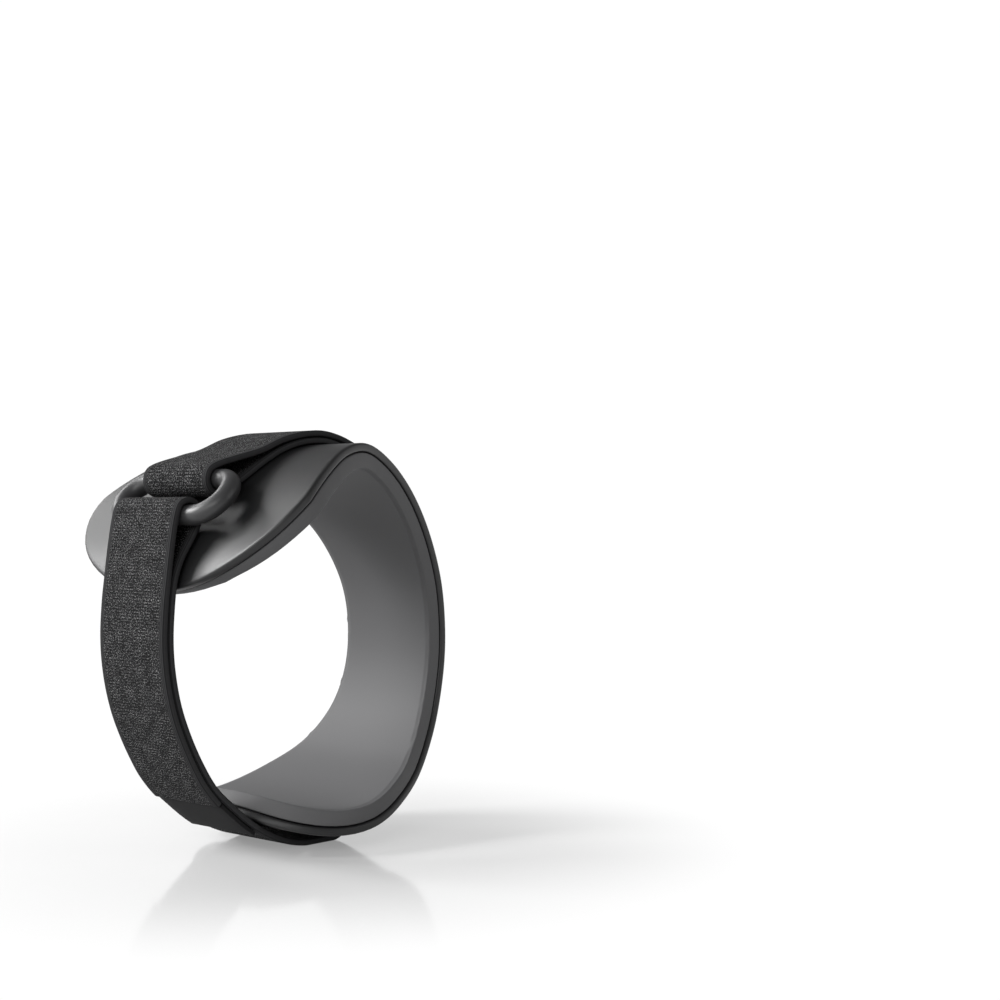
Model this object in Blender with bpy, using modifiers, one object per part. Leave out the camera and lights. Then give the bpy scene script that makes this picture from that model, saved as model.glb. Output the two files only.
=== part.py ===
"""Adjustable elbow clasp standing on its strap.

A springy moulded shell in the shape of a C carries a foam pad on its inner face. One strap of elastic
webbing is sewn round the upper bar of an oval ring, runs over the outside of the shell, closes the gap
of the C, passes through the ring and folds back down to a hook tab. The arm goes through along Y.
"""
import math

import bmesh
import bpy
from mathutils import Vector

MM = 0.001

# Shell, seen from the front: outer face of the C in the XZ plane
CLASP_ACROSS = 46.3 * MM
CLASP_HEIGHT = 100.8 * MM
SHELL_WALL = 2.1 * MM
SHELL_EDGE_ROUND = 0.6 * MM

# Shell, breadth along Y
BIG_LOBE_BREADTH = 78.8 * MM
SMALL_LOBE_BREADTH = 54.8 * MM
WAIST_BREADTH = 32.4 * MM
BIG_LOBE_CAP = 28.0 * MM
SMALL_LOBE_CAP = 28.0 * MM
LOBE_END_ANGLE = math.radians(13.0)

# Foam pad on the inner face of the shell
PAD_DEPTH = 3.85 * MM
PAD_INSET = 0.2 * MM
PAD_EDGE_ROUND = 0.5 * MM

# Webbing strap
STRAP_WIDTH = 25.0 * MM
STRAP_THICKNESS = 1.55 * MM
STRAP_EDGE_ROUND = 0.4 * MM
STRAP_SLACK = 2.6 * MM
SEWN_LENGTH = 47.5 * MM
FOLD_BACK_LENGTH = 71.8 * MM
MERGE_SHARE = 0.6
PART_SHARES = (0.45, 0.30)
PART_RISES = (0.3 * MM, 0.9 * MM)
PATH_STEP = 7.0 * MM
TIP_RUNS = (3.0 * MM, 8.0 * MM, 13.0 * MM)
OUTER_START = 17.0 * MM
OUTER_STEP = 6.0 * MM

# Oval ring
RING_WIRE = 4.9 * MM
RING_PITCH = 12.4 * MM
RING_BAR = 25.5 * MM
RING_SHIFT = 0.75 * MM
RING_SEAT = 28.2 * MM
RING_TILT = math.radians(43.6)
RING_SLACK = 0.7 * MM

# Hook tab on the end of the strap
TAB_LENGTH = 13.0 * MM
TAB_THICKNESS = 1.0 * MM
TAB_INSET = 0.4 * MM

# Clearances
SEAT_GAP = 0.3 * MM
LAYER_GAP = 0.25 * MM
LOBE_CLEAR = 0.9 * MM

# Fineness of the curves
FACE_STEP = 3.2 * MM
STRAP_STEP = 3.0 * MM
STRAP_TURN = math.radians(14.0)
CAP_STEPS = 7
BEND_STEPS = 8

# Side view of the shell's outer face, from the tip of the big lobe over the top to the small lobe.
# across is a share of CLASP_ACROSS, up a share of the rise from the small lobe to the top,
# pad a share of PAD_DEPTH.
SHELL_STATIONS = [
    # name, across, up, pad
    ("big lobe tip", -0.863, 0.624, 0.72),
    ("big lobe end", -0.815, 0.697, 0.78),
    ("big lobe low", -0.710, 0.772, 0.86),
    ("big lobe middle", -0.548, 0.854, 0.95),
    ("big lobe high", -0.319, 0.933, 1.00),
    ("shoulder left", -0.099, 0.984, 1.00),
    ("top", 0.135, 0.998, 1.00),
    ("shoulder right", 0.393, 0.956, 1.00),
    ("upper bend", 0.631, 0.876, 1.00),
    ("neck", 0.822, 0.767, 1.00),
    ("waist high", 0.955, 0.633, 1.00),
    ("waist", 1.000, 0.495, 1.00),
    ("waist low", 0.975, 0.362, 1.00),
    ("lower neck", 0.869, 0.228, 1.00),
    ("lower bend", 0.672, 0.116, 1.00),
    ("heel right", 0.431, 0.049, 1.00),
    ("heel", 0.204, 0.011, 1.00),
    ("small lobe middle", 0.000, 0.000, 1.00),
    ("small lobe rise", -0.180, 0.010, 1.00),
    ("small lobe end", -0.314, 0.032, 1.00),
    ("small lobe tip", -0.404, 0.060, 1.00),
]
LOBE_EASE = 0.64
HEEL_EASE = 1.50

# Inner face of the strap where it closes the gap of the C, in the same shares, from the floor up.
FREE_STATIONS = [
    # name, across, up
    ("off the floor", -0.121, -0.016),
    ("low bend", -0.247, 0.008),
    ("low curve", -0.369, 0.042),
    ("fold end", -0.503, 0.093),
    ("low side", -0.618, 0.144),
    ("side quarter", -0.714, 0.213),
    ("side third", -0.791, 0.286),
    ("side half", -0.845, 0.354),
    ("side high", -0.881, 0.433),
    ("widest", -0.894, 0.500),
    ("below the lobe", -0.890, 0.570),
]
FLOOR_RIGHT = 0.204
FLOOR_LEFT = -0.08
LEAVE_SHARE = 0.775

LOBE_FLOOR = STRAP_THICKNESS + STRAP_SLACK


def clear_scene():
    """Remove every object and collection that the file starts with."""
    for item in list(bpy.data.objects):
        bpy.data.objects.remove(item, do_unlink=True)
    for group in list(bpy.data.collections):
        bpy.data.collections.remove(group)


def smooth_curve(points, step):
    """Pass a smooth curve through points and return it in even steps of about the given length."""
    knots = [0.0]
    for a, b in zip(points, points[1:]):
        knots.append(knots[-1] + math.sqrt((b - a).length))
    slopes = [None] * len(points)
    for i in range(1, len(points) - 1):
        before = knots[i] - knots[i - 1]
        after = knots[i + 1] - knots[i]
        rise_in = (points[i] - points[i - 1]) / before
        rise_out = (points[i + 1] - points[i]) / after
        slopes[i] = (rise_in * after + rise_out * before) / (before + after)
    slopes[0] = 2.0 * (points[1] - points[0]) / (knots[1] - knots[0]) - slopes[1]
    slopes[-1] = 2.0 * (points[-1] - points[-2]) / (knots[-1] - knots[-2]) - slopes[-2]
    fine = []
    for i in range(len(points) - 1):
        span = knots[i + 1] - knots[i]
        for k in range(12):
            t = k / 12.0
            fine.append((2 * t ** 3 - 3 * t ** 2 + 1) * points[i]
                        + (t ** 3 - 2 * t ** 2 + t) * span * slopes[i]
                        + (3 * t ** 2 - 2 * t ** 3) * points[i + 1]
                        + (t ** 3 - t ** 2) * span * slopes[i + 1])
    fine.append(points[-1].copy())
    return even_steps(fine, step)


def lengths_along(points):
    """Length of the path up to each point."""
    run = [0.0]
    for a, b in zip(points, points[1:]):
        run.append(run[-1] + (b - a).length)
    return run


def point_at(points, run, distance):
    """Point at a distance along a path."""
    for i in range(1, len(points)):
        if run[i] >= distance or i == len(points) - 1:
            share = (distance - run[i - 1]) / (run[i] - run[i - 1])
            return points[i - 1].lerp(points[i], share)
    return points[-1].copy()


def even_steps(points, step):
    """Resample a path in even steps."""
    run = lengths_along(points)
    count = max(2, round(run[-1] / step))
    return [point_at(points, run, run[-1] * i / count) for i in range(count + 1)]


def thinned(points, step, turn):
    """Keep only the points of a fine path that a step or a turn of the given size needs."""
    kept = [points[0]]
    heading = points[1] - points[0]
    for before, place, after in zip(points, points[1:], points[2:]):
        if (place - kept[-1]).length >= step or heading.angle(after - place) >= turn:
            kept.append(place)
            heading = after - place
    return kept + [points[-1]]


def side_normals(points):
    """Outward unit normals of a path in the XZ plane that runs clockwise round the arm."""
    normals = []
    for i in range(len(points)):
        ahead = points[min(i + 1, len(points) - 1)]
        behind = points[max(i - 1, 0)]
        along = (ahead - behind).normalized()
        normals.append(Vector((-along.z, 0.0, along.x)))
    return normals


def side_point(across, up):
    """Point of the side view from its shares."""
    return Vector((across * CLASP_ACROSS, 0.0, LOBE_FLOOR + up * (CLASP_HEIGHT - LOBE_FLOOR)))


class Face:
    """Outer face of the shell in the side view: places, normals and half breadths by arc length."""

    def __init__(self):
        corners = [side_point(row[1], row[2]) for row in SHELL_STATIONS]
        self.points = smooth_curve(corners, 0.5 * MM)
        self.run = lengths_along(self.points)
        self.normals = side_normals(self.points)
        self.length = self.run[-1]
        self.station_runs = [self.nearest_run(corner) for corner in corners]
        names = [row[0] for row in SHELL_STATIONS]
        self.waist = self.station_runs[names.index("waist")]

    def nearest_run(self, place):
        """Arc length of the face's point nearest to a place."""
        best = min(range(len(self.points)), key=lambda i: (self.points[i] - place).length)
        return self.run[best]

    def at(self, distance, lift):
        """Point at an arc length, lifted off the face along its normal."""
        normal = point_at(self.normals, self.run, distance).normalized()
        return point_at(self.points, self.run, distance) + normal * lift

    def half_breadth(self, distance):
        """Half the breadth of the shell along Y at an arc length."""
        big, small, waist = BIG_LOBE_BREADTH / 2, SMALL_LOBE_BREADTH / 2, WAIST_BREADTH / 2
        heel = self.length - SMALL_LOBE_CAP
        if distance < BIG_LOBE_CAP:
            share = 1.0 - distance / BIG_LOBE_CAP
            return big * math.sqrt(max(0.0, 1.0 - share * share))
        if distance < self.waist:
            share = ((distance - BIG_LOBE_CAP) / (self.waist - BIG_LOBE_CAP)) ** LOBE_EASE
            return big + (waist - big) * (3.0 * share ** 2 - 2.0 * share ** 3)
        if distance < heel:
            share = ((distance - self.waist) / (heel - self.waist)) ** HEEL_EASE
            return waist + (small - waist) * (3.0 * share ** 2 - 2.0 * share ** 3)
        share = (distance - heel) / SMALL_LOBE_CAP
        return small * math.sqrt(max(0.0, 1.0 - share * share))

    def pad_share(self, distance):
        """Share of the pad's full depth at an arc length."""
        for i in range(1, len(self.station_runs)):
            if distance <= self.station_runs[i] or i == len(self.station_runs) - 1:
                before, after = self.station_runs[i - 1], self.station_runs[i]
                share = min(1.0, max(0.0, (distance - before) / (after - before)))
                return SHELL_STATIONS[i - 1][3] + share * (SHELL_STATIONS[i][3] - SHELL_STATIONS[i - 1][3])
        return 1.0

    def rows(self):
        """Arc lengths of the cross rows: close together round the lobe ends, even between them."""
        quarter = math.pi / 2
        angles = [LOBE_END_ANGLE + (quarter - LOBE_END_ANGLE) * i / CAP_STEPS for i in range(CAP_STEPS)]
        start = [BIG_LOBE_CAP * (1.0 - math.cos(angle)) for angle in angles]
        end = [self.length - SMALL_LOBE_CAP * (1.0 - math.cos(angle)) for angle in reversed(angles)]
        middle = self.length - BIG_LOBE_CAP - SMALL_LOBE_CAP
        count = max(2, round(middle / FACE_STEP))
        between = [BIG_LOBE_CAP + middle * i / count for i in range(count + 1)]
        return start + between + end


def new_material(name, color, roughness):
    """Plain Principled material."""
    material = bpy.data.materials.new(name)
    material.use_nodes = True
    shader = material.node_tree.nodes["Principled BSDF"]
    shader.inputs["Base Color"].default_value = (*color, 1.0)
    shader.inputs["Roughness"].default_value = roughness
    shader.inputs["Metallic"].default_value = 0.0
    material.diffuse_color = (*color, 1.0)
    return material


def add_object(name, mesh, material, group):
    """Put a mesh into the scene under a name, with its material."""
    mesh.materials.append(material)
    item = bpy.data.objects.new(name, mesh)
    group.objects.link(item)
    return item


def add_wall(item, thickness, offset, weights=None):
    """Give an open surface a wall; offset -1 grows it inwards and 0 to both sides."""
    wall = item.modifiers.new("wall", "SOLIDIFY")
    wall.thickness = thickness
    wall.offset = offset
    wall.use_even_offset = True
    if weights:
        wall.vertex_group = weights


def round_edges(item, width):
    """Take the sharp rim edges off with a narrow bevel."""
    bevel = item.modifiers.new("rounded rim", "BEVEL")
    bevel.width = width
    bevel.segments = 1
    bevel.limit_method = "ANGLE"
    bevel.angle_limit = math.radians(50.0)


def lobed_surface(name, face, drop, inset, with_pad_share):
    """Open surface across the rows of the face, a drop below it and an inset inside its outline."""
    mesh = bpy.data.meshes.new(name)
    shape = bmesh.new()
    shares = []
    previous = None
    for distance in face.rows():
        half = face.half_breadth(distance) - inset
        place = face.at(distance, -drop)
        row = [shape.verts.new((place.x, side * half, place.z)) for side in (-1.0, 0.0, 1.0)]
        shares.append(face.pad_share(distance))
        if previous:
            for k in range(2):
                shape.faces.new((previous[k], row[k], row[k + 1], previous[k + 1]))
        previous = row
    shape.to_mesh(mesh)
    shape.free()
    mesh.shade_smooth()
    if with_pad_share:
        return mesh, shares
    return mesh, None


def make_shell(face, group):
    """Springy C of moulded nylon with two lobes."""
    mesh, _ = lobed_surface("shell", face, 0.0, 0.0, False)
    item = add_object("shell", mesh, new_material("moulded nylon", (0.035, 0.035, 0.037), 0.38), group)
    add_wall(item, SHELL_WALL, -1.0)
    round_edges(item, SHELL_EDGE_ROUND)


def make_pad(face, group):
    """Foam pad behind the shell, thinner towards the lobe tip and at the lower bend."""
    mesh, shares = lobed_surface("foam_pad", face, SHELL_WALL + SEAT_GAP, PAD_INSET, True)
    item = add_object("foam_pad", mesh, new_material("pressed foam", (0.11, 0.11, 0.115), 0.85), group)
    depth = item.vertex_groups.new(name="depth")
    for row, share in enumerate(shares):
        depth.add([3 * row, 3 * row + 1, 3 * row + 2], share, "REPLACE")
    add_wall(item, PAD_DEPTH, -1.0, "depth")
    round_edges(item, PAD_EDGE_ROUND)


def ring_centres(face):
    """Centres of the ring's upper and lower bar in the side view."""
    lift = RING_SLACK + SEAT_GAP + STRAP_THICKNESS + SEAT_GAP + RING_WIRE / 2
    upper = face.at(RING_SEAT, lift)
    lower = upper - RING_PITCH * Vector((math.cos(RING_TILT), 0.0, math.sin(RING_TILT)))
    return upper, lower


def make_ring(face, group):
    """Oval ring: two straight bars joined by half circles, slid a little towards -Y on the strap."""
    upper, lower = ring_centres(face)
    middle = (upper + lower) / 2
    up = (upper - lower).normalized()
    bend = RING_PITCH / 2
    outline = []
    for side in (1.0, -1.0):
        for step in range(BEND_STEPS + 1):
            angle = math.pi * step / BEND_STEPS
            y = side * (RING_BAR / 2 + bend * math.sin(angle)) - RING_SHIFT
            outline.append(middle + Vector((0.0, y, 0.0)) + up * side * bend * math.cos(angle))
    path = bpy.data.curves.new("ring", "CURVE")
    path.dimensions = "3D"
    path.bevel_depth = RING_WIRE / 2
    path.bevel_resolution = 4
    spline = path.splines.new("POLY")
    spline.points.add(len(outline) - 1)
    for target, place in zip(spline.points, outline):
        target.co = (*place, 1.0)
    spline.use_cyclic_u = True
    path.materials.append(new_material("moulded acetal", (0.03, 0.03, 0.032), 0.32))
    item = bpy.data.objects.new("ring", path)
    group.objects.link(item)


def bend_points(centre, start, turn):
    """Half turn of the strap's centre line round a bar, from one direction towards another."""
    radius = RING_WIRE / 2 + SEAT_GAP + STRAP_THICKNESS / 2
    points = []
    for step in range(7):
        angle = math.pi * step / 6
        points.append(centre + radius * (math.cos(angle) * start + math.sin(angle) * turn))
    return points


def strap_paths(face):
    """Centre line of the strap, and of the tab on its end, both from the sewn end onwards."""
    half = STRAP_THICKNESS / 2
    upper, lower = ring_centres(face)
    seat = SEAT_GAP + half
    top_lift = seat + STRAP_THICKNESS + LAYER_GAP

    outward = (face.at(RING_SEAT, 1.0 * MM) - face.at(RING_SEAT, 0.0)).normalized()
    along = Vector((outward.z, 0.0, -outward.x))

    sewn_start = RING_SEAT + SEWN_LENGTH
    merge = RING_SEAT + MERGE_SHARE * SEWN_LENGTH
    count = 4
    top_layer = [face.at(sewn_start + (merge - sewn_start) * i / count, top_lift) for i in range(count + 1)]
    for share, rise in zip(PART_SHARES, PART_RISES):
        top_layer.append(face.at(RING_SEAT + share * SEWN_LENGTH, top_lift + rise))
    upper_bend = bend_points(upper, outward, -along)

    leave = LEAVE_SHARE * face.length
    first = RING_SEAT + PATH_STEP
    count = max(4, round((leave - first) / PATH_STEP))
    over_shell = [face.at(first + (leave - first) * i / count, seat) for i in range(count + 1)]

    floor_z = half
    right = Vector((FLOOR_RIGHT * CLASP_ACROSS, 0.0, floor_z))
    left = Vector((FLOOR_LEFT * CLASP_ACROSS, 0.0, floor_z))
    floor = [right.lerp(left, i / 3.0) for i in range(4)]

    inner_faces = [side_point(row[1], row[2]) for row in FREE_STATIONS]
    tip = [face.at(distance, LOBE_CLEAR) for distance in TIP_RUNS]
    inner_faces += tip
    travel = side_normals(inner_faces)
    free = [place + normal * half for place, normal in zip(inner_faces, travel)]

    low_out = (lower - face.at(face.nearest_run(lower), 0.0)).normalized()
    low_along = Vector((low_out.z, 0.0, -low_out.x))
    lower_bend = bend_points(lower, -low_out, low_along)

    inner = smooth_curve(over_shell + floor + free + lower_bend[:1], 1.0 * MM)
    run = lengths_along(inner)
    normals = side_normals(inner)
    outer_lift = STRAP_THICKNESS + LAYER_GAP
    bend_run = run[-1]
    outer = []
    distance = bend_run - OUTER_START
    stop = bend_run - FOLD_BACK_LENGTH
    while distance > stop + OUTER_STEP / 2:
        outer.append(point_at(inner, run, distance) + point_at(normals, run, distance) * outer_lift)
        distance -= OUTER_STEP
    outer.append(point_at(inner, run, stop) + point_at(normals, run, stop) * outer_lift)

    flat_inner = over_shell + floor + free
    whole = top_layer + upper_bend + flat_inner + lower_bend + outer
    strap = thinned(smooth_curve(whole, 0.4 * MM), STRAP_STEP, STRAP_TURN)
    for place in strap:
        place.z = max(place.z, half)

    tab_lift = half + SEAT_GAP + TAB_THICKNESS / 2
    tab = []
    for i in range(6):
        distance = stop - SEAT_GAP - TAB_LENGTH * i / 5
        tab.append(point_at(inner, run, distance) + point_at(normals, run, distance) * tab_lift)
    return strap, tab


def ribbon(name, path, width):
    """Open band: the path in the side view extruded across the width."""
    mesh = bpy.data.meshes.new(name)
    shape = bmesh.new()
    verts = [shape.verts.new((place.x, -width / 2, place.z)) for place in path]
    edges = [shape.edges.new(pair) for pair in zip(verts, verts[1:])]
    grown = bmesh.ops.extrude_edge_only(shape, edges=edges)
    moved = [part for part in grown["geom"] if isinstance(part, bmesh.types.BMVert)]
    bmesh.ops.translate(shape, verts=moved, vec=(0.0, width, 0.0))
    shape.to_mesh(mesh)
    shape.free()
    mesh.shade_smooth()
    return mesh


def make_strap(face, group):
    """Elastic webbing and the hook tab on its folded-back end."""
    strap_path, tab_path = strap_paths(face)
    mesh = ribbon("strap", strap_path, STRAP_WIDTH)
    item = add_object("strap", mesh, new_material("woven elastic", (0.045, 0.045, 0.048), 0.9), group)
    add_wall(item, STRAP_THICKNESS, 0.0)
    round_edges(item, STRAP_EDGE_ROUND)

    mesh = ribbon("hook_tab", tab_path, STRAP_WIDTH - 2 * TAB_INSET)
    item = add_object("hook_tab", mesh, new_material("hook tape", (0.028, 0.028, 0.03), 0.6), group)
    add_wall(item, TAB_THICKNESS, 0.0)


def main():
    """Build the clasp."""
    clear_scene()
    group = bpy.data.collections.new("elbow clasp")
    bpy.context.scene.collection.children.link(group)
    face = Face()
    make_shell(face, group)
    make_pad(face, group)
    make_ring(face, group)
    make_strap(face, group)


main()
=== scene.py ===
"""Elbow clasp standing on its strap: fine shapes, finishes, light and camera."""

import math

import bmesh
import bpy
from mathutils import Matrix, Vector


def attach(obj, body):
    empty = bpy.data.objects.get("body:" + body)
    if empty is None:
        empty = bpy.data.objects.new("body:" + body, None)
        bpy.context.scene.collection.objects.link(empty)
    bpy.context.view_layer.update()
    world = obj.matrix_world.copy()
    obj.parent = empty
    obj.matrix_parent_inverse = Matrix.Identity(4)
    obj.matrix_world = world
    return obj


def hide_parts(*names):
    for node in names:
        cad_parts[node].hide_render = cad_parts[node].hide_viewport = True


MM = 0.001

# Shell: outer face in the side view, breadths along Y, wall
CLASP_ACROSS = 46.3 * MM
CLASP_HEIGHT = 100.8 * MM
BIG_LOBE_BREADTH = 78.8 * MM
SMALL_LOBE_BREADTH = 54.8 * MM
WAIST_BREADTH = 32.4 * MM
LOBE_CAP = 28.0 * MM
LOBE_EASE = 0.64
HEEL_EASE = 1.50
SHELL_WALL = 2.1 * MM
SHELL_EDGE_ROUND = 0.6 * MM
RIM_BORDER = 1.2 * MM

# Foam pad
PAD_DEPTH = 3.85 * MM
PAD_INSET = 0.2 * MM
PAD_EDGE_ROUND = 0.35 * MM
BAND_BORDERS = (0.9 * MM, 1.2 * MM, 1.7 * MM)
CUSHION_RISE = 0.18 * MM

# Webbing
STRAP_WIDTH = 25.0 * MM
STRAP_THICKNESS = 1.55 * MM
STRAP_EDGE_ROUND = 0.55 * MM
LOBE_FLOOR = STRAP_THICKNESS + 2.6 * MM
SEWN_LENGTH = 47.5 * MM
FOLD_BACK_LENGTH = 71.8 * MM
MERGE_SHARE = 0.6
PART_SHARES = (0.45, 0.30)
PART_RISES = (0.3 * MM, 0.9 * MM)
PATH_STEP = 7.0 * MM
TIP_RUNS = (3.0 * MM, 8.0 * MM, 13.0 * MM)
OUTER_START = 17.0 * MM
OUTER_STEP = 6.0 * MM
SELVEDGE = 1.7 * MM

# Ring and hook tab
RING_WIRE = 4.9 * MM
RING_PITCH = 12.4 * MM
RING_BAR = 25.5 * MM
RING_SHIFT = 0.75 * MM
RING_SEAT = 28.2 * MM
RING_TILT = math.radians(43.6)
RING_SLACK = 0.7 * MM
TAB_LENGTH = 13.0 * MM
TAB_THICKNESS = 1.0 * MM
TAB_INSET = 0.4 * MM
TAB_EDGE_ROUND = 0.2 * MM

SEAT_GAP = 0.3 * MM
LAYER_GAP = 0.25 * MM
LOBE_CLEAR = 0.9 * MM

# Side view of the shell's outer face in shares of its size: name, across, up, depth of the pad
SHELL_STATIONS = [
    ("big lobe tip", -0.863, 0.624, 0.72),
    ("big lobe end", -0.815, 0.697, 0.78),
    ("big lobe low", -0.710, 0.772, 0.86),
    ("big lobe middle", -0.548, 0.854, 0.95),
    ("big lobe high", -0.319, 0.933, 1.00),
    ("shoulder left", -0.099, 0.984, 1.00),
    ("top", 0.135, 0.998, 1.00),
    ("shoulder right", 0.393, 0.956, 1.00),
    ("upper bend", 0.631, 0.876, 1.00),
    ("neck", 0.822, 0.767, 1.00),
    ("waist high", 0.955, 0.633, 1.00),
    ("waist", 1.000, 0.495, 1.00),
    ("waist low", 0.975, 0.362, 1.00),
    ("lower neck", 0.869, 0.228, 1.00),
    ("lower bend", 0.672, 0.116, 1.00),
    ("heel right", 0.431, 0.049, 1.00),
    ("heel", 0.204, 0.011, 1.00),
    ("small lobe middle", 0.000, 0.000, 1.00),
    ("small lobe rise", -0.180, 0.010, 1.00),
    ("small lobe end", -0.314, 0.032, 1.00),
    ("small lobe tip", -0.404, 0.060, 1.00),
]
# Inner face of the strap on its free side: name, across, up
FREE_STATIONS = [
    ("off the floor", -0.121, -0.016),
    ("low bend", -0.247, 0.008),
    ("low curve", -0.369, 0.042),
    ("fold end", -0.503, 0.093),
    ("low side", -0.618, 0.144),
    ("side quarter", -0.714, 0.213),
    ("side third", -0.791, 0.286),
    ("side half", -0.845, 0.354),
    ("side high", -0.881, 0.433),
    ("widest", -0.894, 0.500),
    ("below the lobe", -0.890, 0.570),
]
FLOOR_RIGHT = 0.204
FLOOR_LEFT = 0.0
LEAVE_SHARE = 0.775

# Steps along the routes and the meshes
FACE_STEP = 0.5 * MM
INNER_STEP = 1.0 * MM
ROUTE_STEP = 0.4 * MM
SIDE_STEP = 1.3 * MM
STRAP_STEP = 0.8 * MM
TAB_STEP = 1.0 * MM

# Columns across the sheets, outline points along each quarter of a lobe end, sides of the ring's wire
LOBE_COLUMNS = 12
STRAP_COLUMNS = 12
TAB_COLUMNS = 6
CAP_POINTS = 16
WIRE_SIDES = 36
BEND_STEPS = 28

# Loops of the knit are 0.25 mm; they are drawn larger so that they show
LOOP_SIZE = 0.33 * MM

# Camera: place, turn from the arm's axis, lens and shift
CAMERA_PLACE = (-0.28444, -0.3303, 0.08268)
CAMERA_TURN = math.radians(-48.3)
CAMERA_LENS = 60.84
CAMERA_SHIFT = 0.016

# Studio: the side that is bright, the light that comes from everywhere else, and the lamps' aim
BRIGHT_SIDE = (0.747, 0.665, 0.0)
FRONT_FILL = 0.22
LAMP_AIM = (0.0, 0.0, 0.05)
# Softboxes: name, place, size, power
SOFTBOXES = [
    ("key softbox", (-0.62, 0.71, 0.60), (0.45, 0.4), 15.0),
    ("back softbox", (0.0, 0.80, 0.60), (0.3, 0.3), 1.7),
    ("front left softbox", (-0.75, -0.45, 0.40), (0.5, 0.3), 2.2),
    ("front right softbox", (0.4, -0.9, 0.4), (0.5, 0.5), 1.0),
    ("left softbox", (-0.90, 0.10, 0.35), (0.8, 0.6), 3.0),
]

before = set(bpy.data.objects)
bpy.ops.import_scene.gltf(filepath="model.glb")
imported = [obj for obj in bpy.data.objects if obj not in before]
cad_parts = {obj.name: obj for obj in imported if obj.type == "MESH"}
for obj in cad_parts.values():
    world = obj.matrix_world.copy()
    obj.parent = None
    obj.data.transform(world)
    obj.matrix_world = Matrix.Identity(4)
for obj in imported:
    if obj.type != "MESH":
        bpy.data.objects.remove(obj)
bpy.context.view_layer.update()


def lengths_along(points):
    """Length of the path up to each point."""
    run = [0.0]
    for a, b in zip(points, points[1:]):
        run.append(run[-1] + (b - a).length)
    return run


def point_at(points, run, distance):
    """Point at a distance along a path."""
    for i in range(1, len(points)):
        if run[i] >= distance or i == len(points) - 1:
            return points[i - 1].lerp(points[i], (distance - run[i - 1]) / (run[i] - run[i - 1]))
    return points[-1].copy()


def smooth_curve(points, step):
    """Pass a smooth curve through points and return it in even steps."""
    knots = [0.0]
    for a, b in zip(points, points[1:]):
        knots.append(knots[-1] + math.sqrt((b - a).length))
    slopes = [None] * len(points)
    for i in range(1, len(points) - 1):
        before = knots[i] - knots[i - 1]
        after = knots[i + 1] - knots[i]
        rise_in = (points[i] - points[i - 1]) / before
        rise_out = (points[i + 1] - points[i]) / after
        slopes[i] = (rise_in * after + rise_out * before) / (before + after)
    slopes[0] = 2.0 * (points[1] - points[0]) / (knots[1] - knots[0]) - slopes[1]
    slopes[-1] = 2.0 * (points[-1] - points[-2]) / (knots[-1] - knots[-2]) - slopes[-2]
    fine = []
    for i in range(len(points) - 1):
        span = knots[i + 1] - knots[i]
        for k in range(12):
            t = k / 12.0
            fine.append((2 * t ** 3 - 3 * t ** 2 + 1) * points[i]
                        + (t ** 3 - 2 * t ** 2 + t) * span * slopes[i]
                        + (3 * t ** 2 - 2 * t ** 3) * points[i + 1]
                        + (t ** 3 - t ** 2) * span * slopes[i + 1])
    fine.append(points[-1].copy())
    run = lengths_along(fine)
    count = max(2, round(run[-1] / step))
    return [point_at(fine, run, run[-1] * i / count) for i in range(count + 1)]


def side_normals(points):
    """Outward unit normals of a route that runs clockwise round the arm."""
    normals = []
    for i in range(len(points)):
        along = (points[min(i + 1, len(points) - 1)] - points[max(i - 1, 0)]).normalized()
        normals.append(Vector((-along.z, 0.0, along.x)))
    return normals


def side_point(across, up):
    """Point of the side view from its shares."""
    return Vector((across * CLASP_ACROSS, 0.0, LOBE_FLOOR + up * (CLASP_HEIGHT - LOBE_FLOOR)))


def nearest(points, run, place):
    """Run of the point of a path nearest to a place."""
    return run[min(range(len(points)), key=lambda i: (points[i] - place).length)]


corners = [side_point(row[1], row[2]) for row in SHELL_STATIONS]
face = smooth_curve(corners, FACE_STEP)
face_run = lengths_along(face)
face_normals = side_normals(face)
face_length = face_run[-1]
station_runs = [nearest(face, face_run, corner) for corner in corners]
waist_run = station_runs[[row[0] for row in SHELL_STATIONS].index("waist")]


def on_face(distance, lift):
    """Point at a run along the shell's outer face, lifted off it."""
    normal = point_at(face_normals, face_run, distance).normalized()
    return point_at(face, face_run, distance) + normal * lift


def half_breadth(distance):
    """Half the breadth of the shell at a run along its face."""
    big, small, waist = BIG_LOBE_BREADTH / 2, SMALL_LOBE_BREADTH / 2, WAIST_BREADTH / 2
    heel = face_length - LOBE_CAP
    if distance < LOBE_CAP:
        return big * math.sqrt(max(0.0, 1.0 - (1.0 - distance / LOBE_CAP) ** 2))
    if distance < waist_run:
        share = ((distance - LOBE_CAP) / (waist_run - LOBE_CAP)) ** LOBE_EASE
        return big + (waist - big) * (3.0 * share ** 2 - 2.0 * share ** 3)
    if distance < heel:
        share = ((distance - waist_run) / (heel - waist_run)) ** HEEL_EASE
        return waist + (small - waist) * (3.0 * share ** 2 - 2.0 * share ** 3)
    return small * math.sqrt(max(0.0, 1.0 - ((distance - heel) / LOBE_CAP) ** 2))


def pad_share(distance):
    """Share of the pad's full depth at a run along the face."""
    for i in range(1, len(station_runs)):
        if distance <= station_runs[i] or i == len(station_runs) - 1:
            share = (distance - station_runs[i - 1]) / (station_runs[i] - station_runs[i - 1])
            share = min(1.0, max(0.0, share))
            return SHELL_STATIONS[i - 1][3] * (1 - share) + SHELL_STATIONS[i][3] * share
    return 1.0


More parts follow.
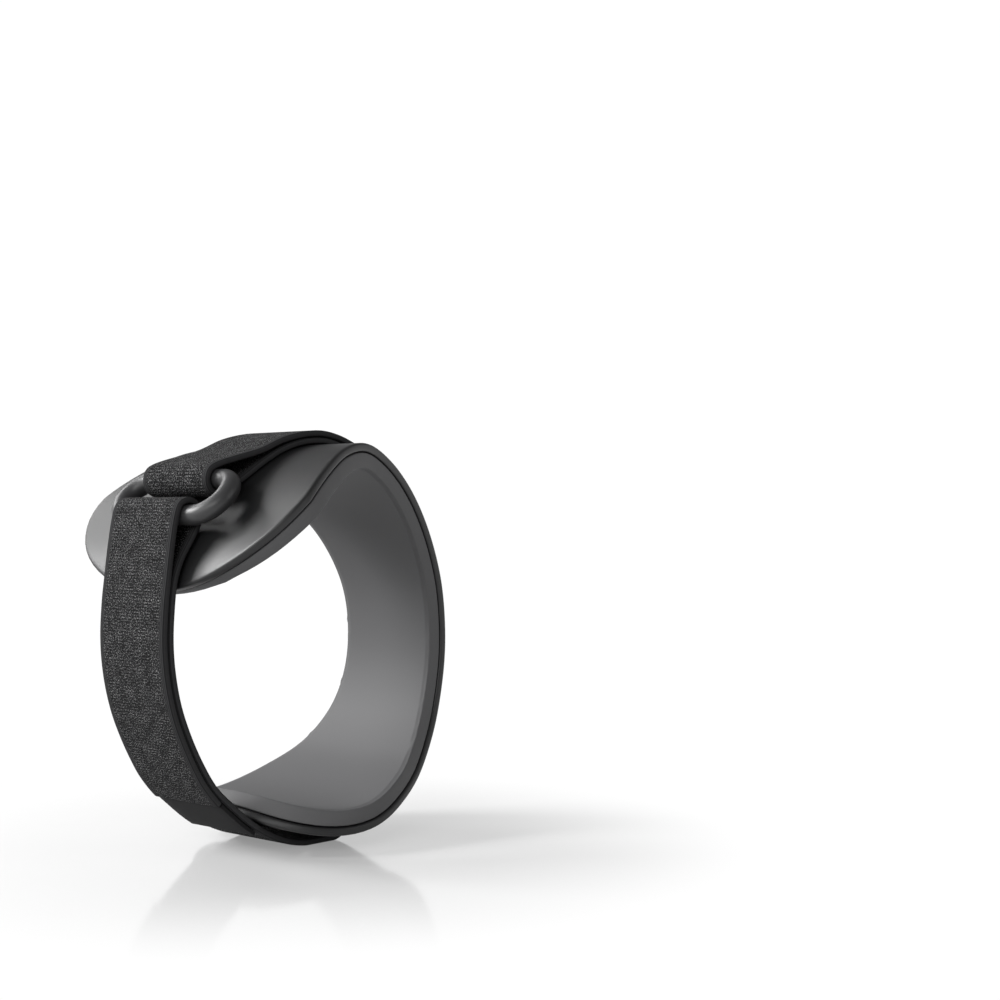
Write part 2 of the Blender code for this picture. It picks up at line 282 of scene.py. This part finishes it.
def ring_bars():
    """Centres of the ring's upper and lower bar."""
    lift = RING_SLACK + SEAT_GAP + STRAP_THICKNESS + SEAT_GAP + RING_WIRE / 2
    upper = on_face(RING_SEAT, lift)
    return upper, upper - RING_PITCH * Vector((math.cos(RING_TILT), 0.0, math.sin(RING_TILT)))


def bend_points(centre, start, turn):
    """Half turn of the strap's middle line round a bar."""
    radius = RING_WIRE / 2 + SEAT_GAP + STRAP_THICKNESS / 2
    return [centre + radius * (math.cos(math.pi * k / 6) * start + math.sin(math.pi * k / 6) * turn)
            for k in range(7)]


def strap_routes():
    """Middle line of the strap and of the tab on its end."""
    half = STRAP_THICKNESS / 2
    upper, lower = ring_bars()
    seat = SEAT_GAP + half
    top_lift = seat + STRAP_THICKNESS + LAYER_GAP
    outward = (on_face(RING_SEAT, 1.0 * MM) - on_face(RING_SEAT, 0.0)).normalized()
    along = Vector((outward.z, 0.0, -outward.x))
    sewn_start = RING_SEAT + SEWN_LENGTH
    merge = RING_SEAT + MERGE_SHARE * SEWN_LENGTH
    top_layer = [on_face(sewn_start + (merge - sewn_start) * i / 4, top_lift) for i in range(5)]
    for share, rise in zip(PART_SHARES, PART_RISES):
        top_layer.append(on_face(RING_SEAT + share * SEWN_LENGTH, top_lift + rise))
    upper_bend = bend_points(upper, outward, -along)
    leave = LEAVE_SHARE * face_length
    first = RING_SEAT + PATH_STEP
    count = max(4, round((leave - first) / PATH_STEP))
    over_shell = [on_face(first + (leave - first) * i / count, seat) for i in range(count + 1)]
    right = Vector((FLOOR_RIGHT * CLASP_ACROSS, 0.0, half))
    left = Vector((FLOOR_LEFT * CLASP_ACROSS, 0.0, half))
    floor = [right.lerp(left, i / 3.0) for i in range(4)]
    inner_faces = [side_point(row[1], row[2]) for row in FREE_STATIONS]
    inner_faces += [on_face(distance, LOBE_CLEAR) for distance in TIP_RUNS]
    free = [place + normal * half for place, normal in zip(inner_faces, side_normals(inner_faces))]
    low_out = (lower - on_face(nearest(face, face_run, lower), 0.0)).normalized()
    lower_bend = bend_points(lower, -low_out, Vector((low_out.z, 0.0, -low_out.x)))
    inner = smooth_curve(over_shell + floor + free + lower_bend[:1], INNER_STEP)
    run = lengths_along(inner)
    normals = side_normals(inner)

    def outside(distance, lift):
        return point_at(inner, run, distance) + point_at(normals, run, distance) * lift

    outer = []
    distance = run[-1] - OUTER_START
    stop = run[-1] - FOLD_BACK_LENGTH
    while distance > stop + OUTER_STEP / 2:
        outer.append(outside(distance, STRAP_THICKNESS + LAYER_GAP))
        distance -= OUTER_STEP
    outer.append(outside(stop, STRAP_THICKNESS + LAYER_GAP))
    whole = top_layer + upper_bend + over_shell + floor + free + lower_bend + outer
    strap = smooth_curve(whole, ROUTE_STEP)
    for place in strap:
        place.z = max(place.z, half)
    tab_lift = half + SEAT_GAP + TAB_THICKNESS / 2
    tab = [outside(stop - SEAT_GAP - TAB_LENGTH * i / 12, tab_lift) for i in range(13)]
    return strap, tab


def deselect():
    """Leave nothing selected."""
    if bpy.context.object and bpy.context.object.mode != "OBJECT":
        bpy.ops.object.mode_set(mode="OBJECT")
    bpy.ops.object.select_all(action="DESELECT")


def hold(piece):
    """Make a piece the only one selected."""
    deselect()
    piece.select_set(True)
    bpy.context.view_layer.objects.active = piece


def modify(piece, kind, **settings):
    """Add a modifier to a piece and apply it."""
    hold(piece)
    modifier = piece.modifiers.new(kind.lower(), kind)
    for key, value in settings.items():
        setattr(modifier, key, value)
    bpy.ops.object.modifier_apply(modifier=modifier.name)


def set_in(outline, border):
    """Move an outline inwards along its own normals; both tips stay on the middle line."""
    moved = []
    last = len(outline) - 1
    for i, (x, y) in enumerate(outline):
        before = outline[i - 1] if i else (outline[1][0], -outline[1][1])
        after = outline[i + 1] if i < last else (outline[i - 1][0], -outline[i - 1][1])
        along = Vector((after[0] - before[0], after[1] - before[1])).normalized()
        moved.append((x + border * along.y, 0.0 if i in (0, last) else y - border * along.x))
    return moved


def cut_flat(name, outline, borders):
    """Cut a flat lobed sheet: a circle moved out in pairs of points, bordered, then filled with a grid."""
    deselect()
    last = len(outline) - 1
    bpy.ops.mesh.primitive_circle_add(vertices=2 * last, radius=1.0, rotation=(0.0, 0.0, math.pi / 2))
    bpy.ops.object.transform_apply(location=True, rotation=True, scale=True)
    piece = bpy.context.object
    piece.name = name
    piece.data.name = name
    bpy.ops.object.mode_set(mode="EDIT")
    now = [(-math.cos(math.pi * i / last), math.sin(math.pi * i / last)) for i in range(last + 1)]
    for number, border in enumerate((0.0, *borders)):
        if number:
            bpy.ops.mesh.extrude_edges_move()
        shape = bmesh.from_edit_mesh(piece.data)
        pairs = [[] for _ in outline]
        for vert in [vert for vert in shape.verts if vert.select]:
            near = min(range(last + 1), key=lambda i: (now[i][0] - vert.co.x) ** 2
                       + (now[i][1] - abs(vert.co.y)) ** 2)
            pairs[near].append(vert)
        goal = set_in(outline, border)
        bpy.ops.mesh.select_all(action="DESELECT")
        for i, pair in enumerate(pairs):
            for vert in pair:
                vert.select = True
            shape.select_flush_mode()
            bmesh.update_edit_mesh(piece.data)
            widen = goal[i][1] / now[i][1] if len(pair) == 2 else 1.0
            bpy.ops.transform.resize(value=(1.0, widen, 1.0))
            bpy.ops.transform.translate(value=(goal[i][0] - now[i][0], 0.0, 0.0))
            for vert in pair:
                vert.select = False
        for vert in sum(pairs, []):
            vert.select = True
        shape.select_flush_mode()
        bmesh.update_edit_mesh(piece.data)
        now = goal
    corner = max(pairs[LOBE_COLUMNS // 2], key=lambda vert: vert.co.y)
    shape.select_history.clear()
    shape.select_history.add(corner)
    bpy.ops.mesh.fill_grid(span=LOBE_COLUMNS)
    bpy.ops.mesh.select_all(action="SELECT")
    bpy.ops.mesh.normals_make_consistent(inside=False)
    bpy.ops.object.mode_set(mode="OBJECT")
    return piece


def wrap(piece, places):
    """Bend a flat piece along a route in the side view; its upper side faces away from the arm."""
    route = bpy.data.curves.new("route", "CURVE")
    route.dimensions = "3D"
    route.twist_mode = "MINIMUM"
    spline = route.splines.new("POLY")
    spline.points.add(len(places) - 1)
    for target, place in zip(spline.points, places):
        target.co = (*place, 1.0)
    holder = bpy.data.objects.new("route", route)
    bpy.context.scene.collection.objects.link(holder)
    modify(piece, "CURVE", object=holder, deform_axis="POS_X")
    bpy.data.objects.remove(holder)


def lift(piece, height):
    """Move a flat piece up or down in its mesh."""
    hold(piece)
    bpy.ops.object.mode_set(mode="EDIT")
    bpy.ops.mesh.select_all(action="SELECT")
    bpy.ops.transform.translate(value=(0.0, 0.0, height))
    bpy.ops.object.mode_set(mode="OBJECT")


def smooth(piece, angle=40.0):
    """Shade a piece smooth except over sharp edges."""
    hold(piece)
    bpy.ops.object.shade_smooth_by_angle(angle=math.radians(angle))


def lobe_outline(inset):
    """Half the flat outline as run and half breadth: even along the lobe ends and along the sides."""
    turns = [math.pi / 2 * i / CAP_POINTS for i in range(CAP_POINTS)]
    cap = [LOBE_CAP * (1.0 - math.cos(turn)) for turn in turns]
    count = round((face_length - 2 * LOBE_CAP) / SIDE_STEP)
    middle = [LOBE_CAP + (face_length - 2 * LOBE_CAP) * i / count for i in range(count + 1)]
    runs = cap + middle + [face_length - run for run in reversed(cap)]
    squeeze = 1.0 - 2.0 * inset / face_length
    return [(inset + run * squeeze, max(0.0, half_breadth(run) - inset)) for run in runs]


def make_shell():
    """Moulded shell: cut flat, bent round the face, thickened inwards, rims rounded."""
    piece = cut_flat("shell_moulding", lobe_outline(0.0), (RIM_BORDER,))
    wrap(piece, face)
    modify(piece, "SOLIDIFY", thickness=SHELL_WALL, offset=-1.0, use_even_offset=True)
    modify(piece, "BEVEL", width=SHELL_EDGE_ROUND, segments=3, limit_method="ANGLE",
           angle_limit=math.radians(50.0))
    smooth(piece)
    return piece


def make_pad():
    """Foam pad: cut flat, bent under the shell, thickened to its own depth, raised inside a flat band."""
    outline = lobe_outline(PAD_INSET)
    piece = cut_flat("foam_cushion", outline, BAND_BORDERS)
    band = outline + set_in(outline, BAND_BORDERS[0])
    band = set((round(x * 1e6), round(y * 1e6)) for x, y in band)
    cushion = piece.vertex_groups.new(name="cushion")
    for vert in piece.data.vertices:
        if (round(vert.co.x * 1e6), round(abs(vert.co.y) * 1e6)) not in band:
            cushion.add([vert.index], 1.0, "REPLACE")
    depth = piece.vertex_groups.new(name="depth")
    for vert in piece.data.vertices:
        depth.add([vert.index], pad_share(vert.co.x), "REPLACE")
    lift(piece, -SHELL_WALL - SEAT_GAP)
    wrap(piece, face)
    piece.vertex_groups.new(name="inner")
    modify(piece, "SOLIDIFY", thickness=PAD_DEPTH, offset=-1.0, use_even_offset=True,
           vertex_group="depth", shell_vertex_group="inner")
    raise_cushion(piece)
    modify(piece, "BEVEL", width=PAD_EDGE_ROUND, segments=3, limit_method="ANGLE",
           angle_limit=math.radians(60.0))
    smooth(piece, 60.0)
    return piece


def raise_cushion(piece):
    """Raise the pad's inner face inside the flat band along its rim."""
    cushion = piece.vertex_groups["cushion"].index
    inner = piece.vertex_groups["inner"].index
    hold(piece)
    bpy.ops.object.mode_set(mode="EDIT")
    bpy.ops.mesh.select_all(action="DESELECT")
    shape = bmesh.from_edit_mesh(piece.data)
    layer = shape.verts.layers.deform.verify()
    for vert in shape.verts:
        vert.select = cushion in vert[layer] and vert[layer].get(inner, 0.0) > 0.5
    shape.select_flush_mode()
    bmesh.update_edit_mesh(piece.data)
    bpy.ops.transform.shrink_fatten(value=CUSHION_RISE)
    bpy.ops.object.mode_set(mode="OBJECT")


def make_band(name, places, width, thickness, rounding, columns, step):
    """Flat band cut to length, laid along its route, with rounded long edges."""
    length = lengths_along(places)[-1]
    deselect()
    bpy.ops.mesh.primitive_grid_add(x_subdivisions=round(length / step), y_subdivisions=columns,
                                    size=1.0, location=(0.0, 0.0, 0.0))
    piece = bpy.context.object
    piece.name = name
    piece.data.name = name
    bpy.ops.object.mode_set(mode="EDIT")
    bpy.ops.mesh.select_all(action="SELECT")
    bpy.ops.transform.translate(value=(0.5, 0.0, 0.0))
    bpy.ops.transform.resize(value=(length, width, 1.0), center_override=(0.0, 0.0, 0.0))
    bpy.ops.object.mode_set(mode="OBJECT")
    wrap(piece, places)
    modify(piece, "SOLIDIFY", thickness=thickness, offset=0.0, use_even_offset=True)
    modify(piece, "BEVEL", width=rounding, segments=3, limit_method="ANGLE",
           angle_limit=math.radians(60.0))
    smooth(piece, 60.0)
    return piece, length


def make_ring():
    """Oval ring: a round wire section spun round one end, drawn along, spun and drawn back."""
    bend = RING_PITCH / 2
    reach = RING_BAR / 2
    deselect()
    bpy.ops.mesh.primitive_circle_add(vertices=WIRE_SIDES, radius=RING_WIRE / 2,
                                      location=(bend, -reach, 0.0), rotation=(math.pi / 2, 0.0, 0.0))
    piece = bpy.context.object
    piece.name = "oval_ring"
    piece.data.name = "oval_ring"
    bpy.ops.object.transform_apply(location=True, rotation=True, scale=True)
    bpy.ops.object.mode_set(mode="EDIT")
    bpy.ops.mesh.select_all(action="SELECT")
    for side in (-1.0, 1.0):
        bpy.ops.mesh.spin(steps=BEND_STEPS, angle=math.pi, center=(0.0, side * reach, 0.0),
                          axis=(0.0, 0.0, 1.0))
        bpy.ops.mesh.extrude_region_move(
            TRANSFORM_OT_translate={"value": (0.0, -side * RING_BAR, 0.0)})
    bpy.ops.mesh.select_all(action="SELECT")
    bpy.ops.mesh.remove_doubles(threshold=0.00005)
    bpy.ops.mesh.normals_make_consistent(inside=False)
    bpy.ops.object.mode_set(mode="OBJECT")
    upper, lower = ring_bars()
    piece.rotation_euler = (0.0, -RING_TILT, 0.0)
    piece.location = (upper + lower) / 2 - Vector((0.0, RING_SHIFT, 0.0))
    hold(piece)
    bpy.ops.object.transform_apply(location=True, rotation=True, scale=True)
    bpy.ops.object.shade_smooth()
    return piece


def linear(code):
    """Linear colour from an sRGB hex value."""
    parts = [int(code[i:i + 2], 16) / 255.0 for i in (1, 3, 5)]
    return [c / 12.92 if c <= 0.04045 else ((c + 0.055) / 1.055) ** 2.4 for c in parts] + [1.0]


def add_node(tree, kind, links=(), values=(), **settings):
    """Add a node with its settings, socket values and incoming links."""
    made = tree.nodes.new(kind)
    for key, value in settings.items():
        setattr(made, key, value)
    for socket, value in values:
        made.inputs[socket].default_value = value
    for socket, source in links:
        tree.links.new(source, made.inputs[socket])
    return made


def start_material(name, color, roughness, specular):
    """Material with its Principled shader set."""
    material = bpy.data.materials.new(name)
    material.use_nodes = True
    shader = material.node_tree.nodes["Principled BSDF"]
    shader.inputs["Base Color"].default_value = linear(color)
    shader.inputs["Roughness"].default_value = roughness
    shader.inputs["Specular IOR Level"].default_value = specular
    return material, material.node_tree, shader


def grain(tree, shader, size, strength, height):
    """Fine moulding grain as a bump, its size in metres."""
    place = add_node(tree, "ShaderNodeTexCoord")
    noise = add_node(tree, "ShaderNodeTexNoise", [("Vector", place.outputs["Object"])],
                     [("Scale", 1.0 / size), ("Detail", 3.0), ("Roughness", 0.6)])
    bump = add_node(tree, "ShaderNodeBump", [("Height", noise.outputs["Fac"])],
                    [("Strength", strength), ("Distance", height)])
    tree.links.new(bump.outputs["Normal"], shader.inputs["Normal"])


def nylon():
    """Injection-moulded black nylon with a fine satin erosion grain."""
    material, tree, shader = start_material("moulded nylon, satin", "#1a1a1b", 0.46, 0.5)
    grain(tree, shader, 0.35 * MM, 0.12, 0.03 * MM)
    return material


def foam():
    """Pressed closed-cell foam with a smooth dark grey skin."""
    material, tree, shader = start_material("closed-cell foam, smooth skin", "#5e5e5f", 0.62, 0.3)
    grain(tree, shader, 0.5 * MM, 0.15, 0.04 * MM)
    return material


def acetal():
    """Injection-moulded black acetal, smooth and a little waxy."""
    material, tree, shader = start_material("moulded acetal, smooth", "#363637", 0.40, 0.5)
    grain(tree, shader, 0.6 * MM, 0.06, 0.03 * MM)
    return material


def hook_tape():
    """Moulded hook tape: stiff nylon backing with a plain matt face."""
    material, tree, shader = start_material("hook tape, matt", "#1a1a1b", 0.8, 0.15)
    grain(tree, shader, 0.4 * MM, 0.3, 0.05 * MM)
    return material


def webbing(length):
    """Knitted elastic: melange loops in fine cross rows, plain darker ribbed selvedges."""
    material, tree, shader = start_material("knitted elastic, loop face", "#2c2c2d", 0.95, 0.1)
    place = add_node(tree, "ShaderNodeTexCoord")
    flat = add_node(tree, "ShaderNodeMapping", [("Vector", place.outputs["UV"])],
                    [("Scale", (length / MM, STRAP_WIDTH / MM, 1.0))])
    loops = add_node(tree, "ShaderNodeMapping", [("Vector", flat.outputs["Vector"])],
                     [("Scale", (MM / LOOP_SIZE, MM / LOOP_SIZE, 1.0))])
    yarn = add_node(tree, "ShaderNodeTexNoise", [("Vector", loops.outputs["Vector"])],
                    [("Scale", 1.0), ("Detail", 2.0), ("Roughness", 0.75)], noise_dimensions="2D")
    patches = add_node(tree, "ShaderNodeTexNoise", [("Vector", flat.outputs["Vector"])],
                       [("Scale", 0.35), ("Detail", 2.0)], noise_dimensions="2D")
    rows = add_node(tree, "ShaderNodeTexWave", [("Vector", flat.outputs["Vector"])],
                    [("Scale", 0.42), ("Distortion", 1.6), ("Detail", 1.0), ("Detail Scale", 1.2)],
                    wave_type="BANDS", bands_direction="X")
    with_rows = add_node(tree, "ShaderNodeMath", [(0, rows.outputs["Fac"]), (2, yarn.outputs["Fac"])],
                         [(1, 0.06)], operation="MULTIPLY_ADD")
    with_patches = add_node(tree, "ShaderNodeMath",
                            [(0, patches.outputs["Fac"]), (2, with_rows.outputs[0])],
                            [(1, 0.12)], operation="MULTIPLY_ADD")
    shade = add_node(tree, "ShaderNodeValToRGB", [("Fac", with_patches.outputs[0])])
    ramp = shade.color_ramp
    ramp.elements[0].position = 0.44
    ramp.elements[0].color = linear("#070707")
    ramp.elements[1].position = 0.80
    ramp.elements[1].color = linear("#8a8a8a")
    for at, code in ((0.53, "#101011"), (0.61, "#1e1e1f"), (0.69, "#3c3c3d")):
        ramp.elements.new(at).color = linear(code)
    across = add_node(tree, "ShaderNodeSeparateXYZ", [("Vector", flat.outputs["Vector"])])
    offset = add_node(tree, "ShaderNodeMath", [(0, across.outputs["Y"])],
                      [(1, STRAP_WIDTH / MM / 2)], operation="SUBTRACT")
    distance = add_node(tree, "ShaderNodeMath", [(0, offset.outputs[0])], operation="ABSOLUTE")
    edge = add_node(tree, "ShaderNodeMapRange", [("Value", distance.outputs[0])],
                    [("From Min", (STRAP_WIDTH / 2 - SELVEDGE) / MM - 0.5),
                     ("From Max", (STRAP_WIDTH / 2 - SELVEDGE) / MM + 0.5)])
    # Selvedge ribs run along the strap, 0.6 mm apart
    ribs = add_node(tree, "ShaderNodeTexWave", [("Vector", flat.outputs["Vector"])],
                    [("Scale", 0.52), ("Distortion", 0.5), ("Detail", 1.0)],
                    wave_type="BANDS", bands_direction="Y")
    plain = add_node(tree, "ShaderNodeMix", [(0, ribs.outputs["Fac"])],
                     [(6, linear("#202021")), (7, linear("#383839"))], data_type="RGBA")
    mix = add_node(tree, "ShaderNodeMix",
                   [(0, edge.outputs["Result"]), (6, shade.outputs["Color"]), (7, plain.outputs[2])],
                   data_type="RGBA")
    tree.links.new(mix.outputs[2], shader.inputs["Base Color"])
    bump = add_node(tree, "ShaderNodeBump", [("Height", with_rows.outputs[0])],
                    [("Strength", 0.5), ("Distance", 0.10 * MM)])
    tree.links.new(bump.outputs["Normal"], shader.inputs["Normal"])
    return material


def make_camera():
    """Level camera that looks across the arm opening."""
    data = bpy.data.cameras.new("camera")
    data.sensor_width = 36.0
    data.lens = CAMERA_LENS
    data.shift_y = CAMERA_SHIFT
    data.clip_start = 0.01
    camera = bpy.data.objects.new("camera", data)
    bpy.context.scene.collection.objects.link(camera)
    camera.location = CAMERA_PLACE
    camera.rotation_euler = (math.pi / 2, 0.0, CAMERA_TURN)
    bpy.context.scene.camera = camera


def make_softbox(name, place, size, power):
    """Flat softbox aimed at the clasp."""
    data = bpy.data.lights.new(name, "AREA")
    data.shape = "RECTANGLE"
    data.size, data.size_y = size
    data.energy = power
    lamp = bpy.data.objects.new(name, data)
    bpy.context.scene.collection.objects.link(lamp)
    lamp.location = place
    lamp.rotation_euler = (Vector(LAMP_AIM) - Vector(place)).to_track_quat("-Z", "Y").to_euler()


def make_floor():
    """Glossy white floor that brightens to plain white away from the clasp."""
    deselect()
    bpy.ops.mesh.primitive_plane_add(size=8.0, location=(0.0, 0.0, 0.0))
    floor = bpy.context.object
    floor.name = "floor"
    material, tree, shader = start_material("white acrylic sheet, polished", "#dedede", 0.10, 0.5)
    place = add_node(tree, "ShaderNodeTexCoord")
    reach = add_node(tree, "ShaderNodeVectorMath", [(0, place.outputs["Object"])], operation="LENGTH")
    fade = add_node(tree, "ShaderNodeMapRange", [("Value", reach.outputs["Value"])],
                    [("From Min", 0.05), ("From Max", 0.13), ("To Min", 0.25)],
                    interpolation_type="SMOOTHSTEP")
    path = add_node(tree, "ShaderNodeLightPath")
    power = add_node(tree, "ShaderNodeMapRange", [("Value", path.outputs["Is Diffuse Ray"])],
                     [("To Min", 1.02), ("To Max", 0.35)])
    glow = add_node(tree, "ShaderNodeEmission", [("Strength", power.outputs["Result"])],
                    [("Color", (1.0, 1.0, 1.0, 1.0))])
    both = add_node(tree, "ShaderNodeMixShader",
                    [(0, fade.outputs["Result"]), (1, shader.outputs[0]), (2, glow.outputs[0])])
    tree.links.new(both.outputs[0], tree.nodes["Material Output"].inputs["Surface"])
    floor.data.materials.append(material)


def make_studio():
    """Surroundings that are bright low down behind and dim elsewhere, and the softboxes."""
    world = bpy.data.worlds.new("studio")
    bpy.context.scene.world = world
    world.use_nodes = True
    tree = world.node_tree
    background = tree.nodes["Background"]
    place = add_node(tree, "ShaderNodeTexCoord")
    behind = add_node(tree, "ShaderNodeVectorMath", [(0, place.outputs["Generated"])],
                      [(1, BRIGHT_SIDE)], operation="DOT_PRODUCT")
    glow = add_node(tree, "ShaderNodeMapRange", [("Value", behind.outputs["Value"])],
                    [("From Min", 0.2), ("From Max", 0.8), ("To Min", FRONT_FILL), ("To Max", 1.0)])
    height = add_node(tree, "ShaderNodeSeparateXYZ", [("Vector", place.outputs["Generated"])])
    band = add_node(tree, "ShaderNodeMapRange",
                    [("Value", height.outputs["Z"]), ("To Min", glow.outputs["Result"])],
                    [("From Min", 0.20), ("From Max", 0.36), ("To Max", FRONT_FILL)])
    path = add_node(tree, "ShaderNodeLightPath")
    strength = add_node(tree, "ShaderNodeMix",
                        [(0, path.outputs["Is Camera Ray"]), (2, band.outputs["Result"])], [(3, 1.02)])
    background.inputs["Color"].default_value = (1.0, 1.0, 1.0, 1.0)
    tree.links.new(strength.outputs[0], background.inputs["Strength"])
    for name, lamp_place, size, power in SOFTBOXES:
        make_softbox(name, lamp_place, size, power)



def dress(piece, node, material):
    """Give a piece its finish and body, and hide the CAD solid that it stands for."""
    piece.data.materials.clear()
    piece.data.materials.append(material)
    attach(piece, "root")
    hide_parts(node)


bpy.context.scene.view_settings.view_transform = "Standard"
make_camera()
strap_route, tab_route = strap_routes()

shell = make_shell()
dress(shell, "shell", nylon())

pad = make_pad()
dress(pad, "foam_pad", foam())

strap, strap_length = make_band("webbing_strap", strap_route, STRAP_WIDTH, STRAP_THICKNESS,
                                STRAP_EDGE_ROUND, STRAP_COLUMNS, STRAP_STEP)
dress(strap, "strap", webbing(strap_length))

ring = make_ring()
dress(ring, "ring", acetal())

tab, _ = make_band("hook_tape_tab", tab_route, STRAP_WIDTH - 2 * TAB_INSET, TAB_THICKNESS,
                   TAB_EDGE_ROUND, TAB_COLUMNS, TAB_STEP)
dress(tab, "hook_tab", hook_tape())

make_floor()
make_studio()
